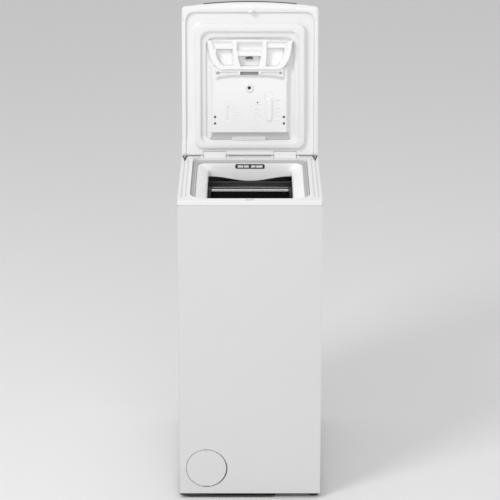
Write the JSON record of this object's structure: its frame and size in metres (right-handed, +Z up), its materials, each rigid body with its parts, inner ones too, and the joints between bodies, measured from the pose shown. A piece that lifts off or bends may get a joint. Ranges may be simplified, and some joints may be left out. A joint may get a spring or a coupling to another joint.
{
  "type": "top load washing machine",
  "caption": "Narrow top-loading washing machine with its lid open, dispenser in the lid, horizontal drum with hinged doors, rear console, filter cover and castor lever.",
  "frame": {"origin": "middle of the footprint, on the floor", "axes": "+Z up, +X to the user's right, -Y towards the user"},
  "size_m": [0.4, 0.6, 1.3301],
  "materials": {
    "cabinet_paint": "smooth satin off-white enamel",
    "rear_zinc": "galvanised sheet",
    "white_plastic": "white moulded plastic",
    "inner_plastic": "white moulded plastic, slightly satin",
    "dispenser_plastic": "glossy white moulded plastic",
    "seal_rubber": "soft grey rubber",
    "bellows_rubber": "dark grey moulded rubber",
    "grip_rubber": "matt dark grip strip",
    "black_plastic": "matt black plastic",
    "base_plastic": "dark moulded plastic",
    "tub_plastic": "light grey glass-filled plastic",
    "drum_steel": "brushed stainless steel",
    "pin_steel": "plain zinc-plated steel",
    "spring_steel": "oiled spring steel",
    "bearing_steel": "ground bearing steel",
    "cast_alloy": "cast aluminium",
    "motor_case": "cast alloy and laminations",
    "concrete": "cast concrete",
    "belt_rubber": "ribbed black rubber",
    "hose_rubber": "grey-black hose",
    "clear_window": "smoked gloss window",
    "button_plastic": "light grey button plastic",
    "knob_plastic": "light grey fluted plastic",
    "board_green": "printed circuit board",
    "foot_rubber": "black foot"
  },
  "bodies": {
    "cabinet": {"base_frame": "base_plastic", "levelling_feet": "foot_rubber", "front_panel": "cabinet_paint", "left_side_panel": "cabinet_paint", "right_side_panel": "cabinet_paint", "rear_panel": "rear_zinc", "cabinet_screws": "pin_steel", "top_frame": "white_plastic", "lid_seal": "seal_rubber", "loading_funnel": "inner_plastic", "door_lock": "black_plastic", "console_housing": "white_plastic", "control_fascia": "inner_plastic", "display_window": "clear_window", "control_board": "board_green", "lid_hinge_pins": "pin_steel", "filter_housing": "black_plastic", "drain_pump": "tub_plastic", "drain_hose": "hose_rubber", "inlet_valve": "tub_plastic", "fill_hose": "hose_rubber", "power_cord_gland": "black_plastic", "pressure_switch": "tub_plastic", "damper_cylinders": "black_plastic"},
    "lid": {"lid_outer_shell": "white_plastic", "lid_side_trims": "white_plastic", "lid_front_cap": "white_plastic", "lid_grip_strip": "grip_rubber", "lid_liner": "inner_plastic", "lid_hook": "white_plastic", "lid_hinge_arms": "white_plastic"},
    "dispenser": {"dispenser_tray": "dispenser_plastic", "dispenser_insert": "dispenser_plastic"},
    "tub": {"tub_left_half": "tub_plastic", "tub_right_half": "tub_plastic", "tub_bearings": "bearing_steel", "tub_bellows": "bellows_rubber", "counterweights": "concrete", "heater": "pin_steel", "motor": "motor_case", "drive_belt": "belt_rubber", "damper_rods": "pin_steel", "suspension_springs": "spring_steel", "sump_hose": "hose_rubber"},
    "motor_rotor": {"motor_pulley": "cast_alloy"},
    "drum": {"drum_shell": "drum_steel", "drum_ends": "drum_steel", "drum_lifters": "drum_steel", "drum_pulley": "cast_alloy"},
    "drum_door_front": {"drum_door_front": "drum_steel"},
    "drum_door_rear": {"drum_door_rear": "drum_steel"},
    "filter_cover": {"filter_cover": "cabinet_paint"},
    "drain_filter": {"drain_filter": "black_plastic"},
    "programme_knob": {"programme_knob": "knob_plastic"},
    "option_button_1": {"option_button_1": "button_plastic"},
    "option_button_2": {"option_button_2": "button_plastic"},
    "start_button": {"start_button": "button_plastic"},
    "castor_lever": {"castor_lever": "black_plastic"},
    "castor_carriage": {"castor_carriage": "pin_steel"},
    "castor_wheels": {"castor_wheels": "black_plastic"}
  },
  "joints": [
    {"name": "lid_hinge", "type": "hinge", "parent": "cabinet", "child": "lid", "pos_m": [0, 0.14, 0.884], "axis": [1, 0, 0], "range_deg": [0, 99.8]},
    {"name": "dispenser_pull_out", "type": "slide", "parent": "lid", "child": "dispenser", "axis": [0, 0.9854, -0.1702], "range_m": [-0.045, 0]},
    {"name": "tub_travel", "type": "slide", "parent": "cabinet", "child": "tub", "axis": [0, 0, 1], "range_m": [-0.012, 0.006], "stiffness_N_per_m": 9000, "springref_m": 0.04752, "deforming": ["suspension_springs", "tub_bellows", "sump_hose"]},
    {"name": "drum_spin", "type": "hinge", "parent": "tub", "child": "drum", "pos_m": [0, 0.012, 0.593], "axis": [1, 0, 0], "range_deg": [-720, 720]},
    {"name": "motor_spin", "type": "hinge", "parent": "tub", "child": "motor_rotor", "pos_m": [0, 0.088, 0.255], "axis": [1, 0, 0], "range_deg": [-10080, 10080]},
    {"name": "drum_door_front_hinge", "type": "hinge", "parent": "drum", "child": "drum_door_front", "pos_m": [0, -0.07921, 0.80523], "axis": [-1, 0, 0], "range_deg": [-100, 0]},
    {"name": "drum_door_rear_hinge", "type": "hinge", "parent": "drum", "child": "drum_door_rear", "pos_m": [0, 0.10321, 0.80523], "axis": [1, 0, 0], "range_deg": [-80, 0]},
    {"name": "filter_cover_hinge", "type": "hinge", "parent": "cabinet", "child": "filter_cover", "pos_m": [-0.124, -0.2984, 0.038], "axis": [1, 0, 0], "range_deg": [0, 90]},
    {"name": "drain_filter_turn", "type": "hinge", "parent": "cabinet", "child": "drain_filter", "pos_m": [-0.124, -0.25, 0.092], "axis": [0, 1, 0], "range_deg": [0, 90]},
    {"name": "programme_knob_turn", "type": "hinge", "parent": "cabinet", "child": "programme_knob", "pos_m": [0.12, 0.242, 0.912], "axis": [0, 0, 1], "continuous": true},
    {"name": "option_button_1_press", "type": "slide", "parent": "cabinet", "child": "option_button_1", "axis": [0, 0, 1], "range_m": [-0.0012, 0], "stiffness_N_per_m": 600, "springref_m": 0.0002},
    {"name": "option_button_2_press", "type": "slide", "parent": "cabinet", "child": "option_button_2", "axis": [0, 0, 1], "range_m": [-0.0012, 0], "stiffness_N_per_m": 600, "springref_m": 0.0002},
    {"name": "start_button_press", "type": "slide", "parent": "cabinet", "child": "start_button", "axis": [0, 0, 1], "range_m": [-0.0012, 0], "stiffness_N_per_m": 600, "springref_m": 0.0002},
    {"name": "castor_lever_swing", "type": "hinge", "parent": "cabinet", "child": "castor_lever", "pos_m": [0.06, -0.278, 0.01], "axis": [0, 0, 1], "range_deg": [0, 90]},
    {"name": "castor_lowering", "type": "slide", "parent": "cabinet", "child": "castor_carriage", "axis": [0, 0, 1], "range_m": [-0.009, 0]},
    {"name": "castor_roll", "type": "hinge", "parent": "castor_carriage", "child": "castor_wheels", "pos_m": [0, -0.236, 0.02], "axis": [1, 0, 0], "continuous": true}
  ],
  "couplings": [
    {"joint": "motor_spin", "follows": "drum_spin", "ratio": 14},
    {"joint": "castor_lowering", "follows": "castor_lever_swing", "m_per_rad": -0.0057}
  ]
}
